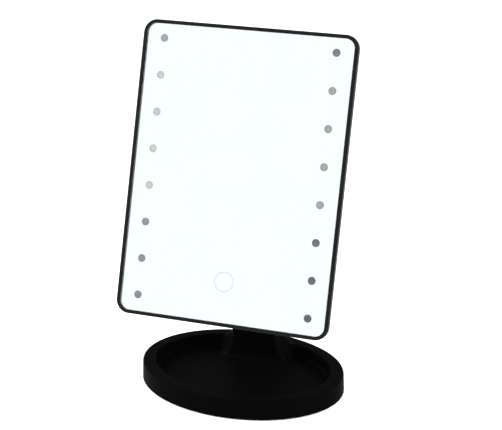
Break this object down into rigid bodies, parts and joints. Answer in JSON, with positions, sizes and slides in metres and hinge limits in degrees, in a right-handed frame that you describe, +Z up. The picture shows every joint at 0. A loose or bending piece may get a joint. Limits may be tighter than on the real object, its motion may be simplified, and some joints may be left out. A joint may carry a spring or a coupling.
{
  "type": "lighted vanity mirror",
  "caption": "Tilting rectangular mirror in a slim dark frame with lamp windows down both sides and a touch ring, on a leaning neck over an oval tray base.",
  "frame": {"origin": "centre of the oval base, on the surface that the rubber feet stand on", "axes": "+X along the mirror's width (to the right as seen from the front), +Y towards the back, +Z up"},
  "size_m": [0.1692, 0.1188, 0.288],
  "materials": {
    "base_black": "fine-textured black moulding",
    "head_black": "satin black moulding",
    "knob_grey": "dark grey moulding",
    "rubber": "soft black rubber",
    "glass": "clear float glass",
    "silver": "silvered coat",
    "foam": "closed-cell foam tape",
    "diffuser": "milky translucent sheet",
    "board_white": "white solder mask",
    "board_green": "green solder mask",
    "lamp_package": "white case with a yellow phosphor face",
    "chip_black": "epoxy chip cases",
    "steel": "plated steel",
    "nylon": "natural nylon",
    "cell_case": "printed steel can",
    "lead_red": "red insulation",
    "lead_black": "black insulation",
    "lead_white": "white insulation"
  },
  "bodies": {
    "base": {"base_tray": "base_black", "base_bottom_plate": "base_black", "rubber_feet": "rubber", "base_screws": "steel", "neck_front_shell": "base_black", "neck_rear_shell": "base_black", "neck_shell_screws": "steel", "neck_foot_screws": "steel"},
    "head": {"front_bezel": "head_black", "mirror_glass": "glass", "mirror_silvering": "silver", "glass_gasket": "foam", "diffuser_left": "diffuser", "diffuser_right": "diffuser", "lamp_board_left": "board_white", "lamp_board_right": "board_white", "lamps_left": "lamp_package", "lamps_right": "lamp_package", "rear_cover": "head_black", "cover_screws": "steel", "battery_cell_1": "cell_case", "battery_cell_2": "cell_case", "battery_cell_3": "cell_case", "battery_cell_4": "cell_case", "contact_bridges": "steel", "battery_terminals": "steel", "battery_springs": "steel", "hinge_bracket": "head_black", "bracket_screws": "steel", "hinge_pin": "steel", "friction_washers": "nylon", "spring_washer": "steel", "hinge_nut": "steel", "control_board": "board_green", "control_chips": "chip_black", "board_screws": "steel", "touch_spring": "steel", "switch_body": "head_black", "lead_battery_red": "lead_red", "lead_battery_black": "lead_black", "lead_switch": "lead_red", "lead_lamps_left": "lead_white", "lead_lamps_right": "lead_white"},
    "battery_door": {"battery_door": "head_black"},
    "switch_knob": {"switch_knob": "knob_grey"}
  },
  "joints": [
    {"name": "head_tilt", "type": "hinge", "parent": "base", "child": "head", "pos_m": [0, 0.0055, 0.1745], "axis": [-1, 0, 0], "range_deg": [-30, 70]},
    {"name": "battery_door_off", "type": "slide", "parent": "head", "child": "battery_door", "axis": [0, 0.9367, -0.3502], "range_m": [0, 0.03]},
    {"name": "power_switch", "type": "slide", "parent": "head", "child": "switch_knob", "axis": [1, 0, 0], "range_m": [0, 0.003]}
  ]
}
